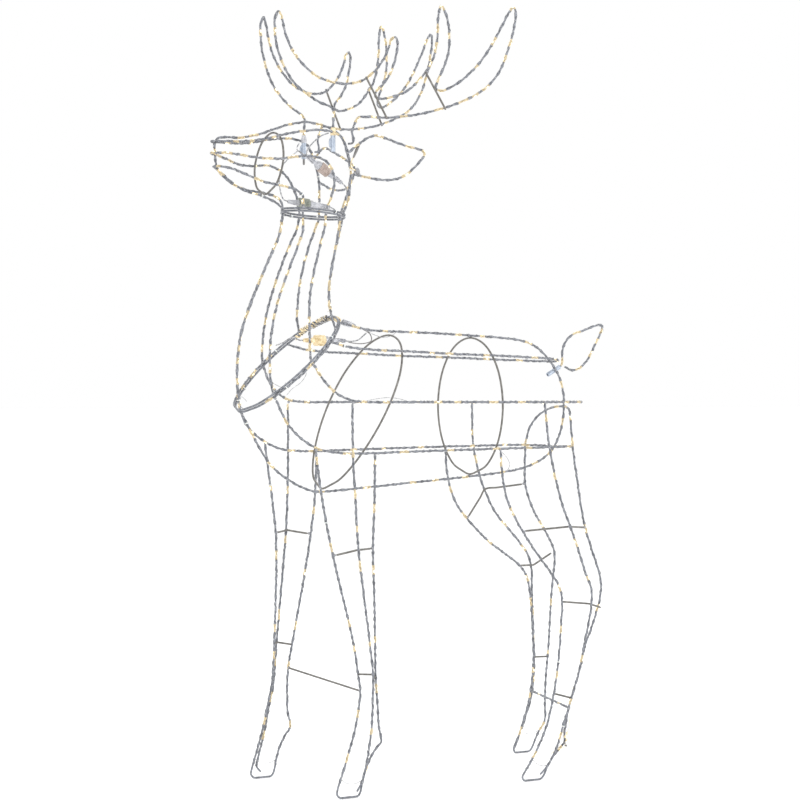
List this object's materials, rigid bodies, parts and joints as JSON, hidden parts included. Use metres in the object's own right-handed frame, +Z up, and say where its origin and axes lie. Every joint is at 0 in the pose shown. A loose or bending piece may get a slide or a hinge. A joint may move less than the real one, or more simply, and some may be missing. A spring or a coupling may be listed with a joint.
{
  "type": "light-up wire yard deer",
  "caption": "Free-standing bent-wire reindeer for the yard, in plug-in sections wound with a light string: legged body, neck, head, antlers and tail.",
  "frame": {"origin": "on the ground, at the middle of the deer's length and width", "axes": "+Z up, nose toward -X, tail toward +X, the deer's left side toward -Y"},
  "size_m": [0.8917, 0.3422, 1.5179],
  "materials": {
    "frame_wire": "satin powder-coated steel wire, wound with clear light string",
    "bare_wire": "satin powder-coated steel wire",
    "socket_steel": "satin painted steel tube",
    "clear_plastic": "frosted clear soft plastic",
    "nut_plastic": "smoky ribbed plastic",
    "light_lead": "thin clear insulated lead",
    "lit_led": "warm white micro light in a clear drop",
    "tie_plastic": "natural cable-tie plastic"
  },
  "bodies": {
    "torso": {"spine_and_belly_wire": "frame_wire", "upper_side_loop": "frame_wire", "middle_side_loop": "frame_wire", "lower_side_loop": "frame_wire", "front_hoop": "bare_wire", "rear_hoop": "bare_wire", "body_neck_ring": "frame_wire", "front_left_hoof_wire": "frame_wire", "front_right_hoof_wire": "frame_wire", "rear_left_hoof_wire": "frame_wire", "rear_right_hoof_wire": "frame_wire", "front_left_outer_wire": "frame_wire", "front_right_outer_wire": "frame_wire", "rear_left_outer_wire": "frame_wire", "rear_right_outer_wire": "frame_wire", "front_left_knee_brace": "bare_wire", "front_right_knee_brace": "bare_wire", "rear_left_thigh_brace": "bare_wire", "rear_right_thigh_brace": "bare_wire", "rump_arch": "frame_wire", "front_crossbar": "bare_wire", "rear_crossbar": "frame_wire", "tail_socket": "socket_steel", "body_connector_socket": "clear_plastic", "power_inlet": "clear_plastic"},
    "tail": {"tail_loop": "frame_wire"},
    "neck": {"neck_lower_ring": "frame_wire", "neck_upper_ring": "frame_wire", "neck_front_wire": "frame_wire", "neck_back_wire": "frame_wire", "neck_front_left_wire": "frame_wire", "neck_front_right_wire": "frame_wire", "neck_side_left_wire": "frame_wire", "neck_side_right_wire": "frame_wire", "neck_back_left_wire": "frame_wire", "neck_back_right_wire": "frame_wire", "neck_connector_socket": "clear_plastic", "body_connector_plug": "clear_plastic"},
    "body_connector_nut": {"body_connector_nut": "nut_plastic"},
    "head": {"head_base_ring": "frame_wire", "muzzle_ring": "bare_wire", "head_midline_wire": "frame_wire", "brow_loop": "frame_wire", "cheek_loop": "frame_wire", "jaw_loop": "frame_wire", "ear_left": "frame_wire", "ear_right": "frame_wire", "antler_socket_left": "socket_steel", "antler_socket_right": "socket_steel", "antler_connector_body": "clear_plastic", "neck_connector_plug": "clear_plastic"},
    "neck_connector_nut": {"neck_connector_nut": "nut_plastic"},
    "antler_connector_nut": {"antler_connector_nut": "nut_plastic"},
    "antler_left": {"antler_left": "frame_wire", "antler_left_front_brace": "bare_wire", "antler_left_rear_brace": "bare_wire"},
    "antler_right": {"antler_right": "frame_wire", "antler_right_front_brace": "bare_wire", "antler_right_rear_brace": "bare_wire"}
  },
  "joints": [
    {"name": "neck_lift_off", "type": "slide", "parent": "torso", "child": "neck", "axis": [-0.6845, 0, 0.729], "range_m": [0, 0.1]},
    {"name": "head_lift_off", "type": "slide", "parent": "neck", "child": "head", "axis": [0.0785, 0, 0.9969], "range_m": [0, 0.1]},
    {"name": "antler_left_pull_out", "type": "slide", "parent": "head", "child": "antler_left", "axis": [0, 0, 1], "range_m": [0, 0.05]},
    {"name": "antler_right_pull_out", "type": "slide", "parent": "head", "child": "antler_right", "axis": [0, 0, 1], "range_m": [0, 0.05]},
    {"name": "tail_pull_out", "type": "slide", "parent": "torso", "child": "tail", "axis": [0.866, 0, 0.5], "range_m": [0, 0.04]},
    {"name": "antler_connector_nut_turn", "type": "hinge", "parent": "head", "child": "antler_connector_nut", "pos_m": [-0.207, 0, 1.199], "axis": [0.8434, 0, -0.5373], "range_deg": [0, 450]},
    {"name": "neck_connector_nut_turn", "type": "hinge", "parent": "head", "child": "neck_connector_nut", "pos_m": [-0.24, 0, 1.13], "axis": [-0.9969, 0, 0.0785], "range_deg": [0, 450]},
    {"name": "body_connector_nut_turn", "type": "hinge", "parent": "neck", "child": "body_connector_nut", "pos_m": [-0.214, -0.016, 0.866], "axis": [-1, 0, 0], "range_deg": [0, 450]}
  ]
}
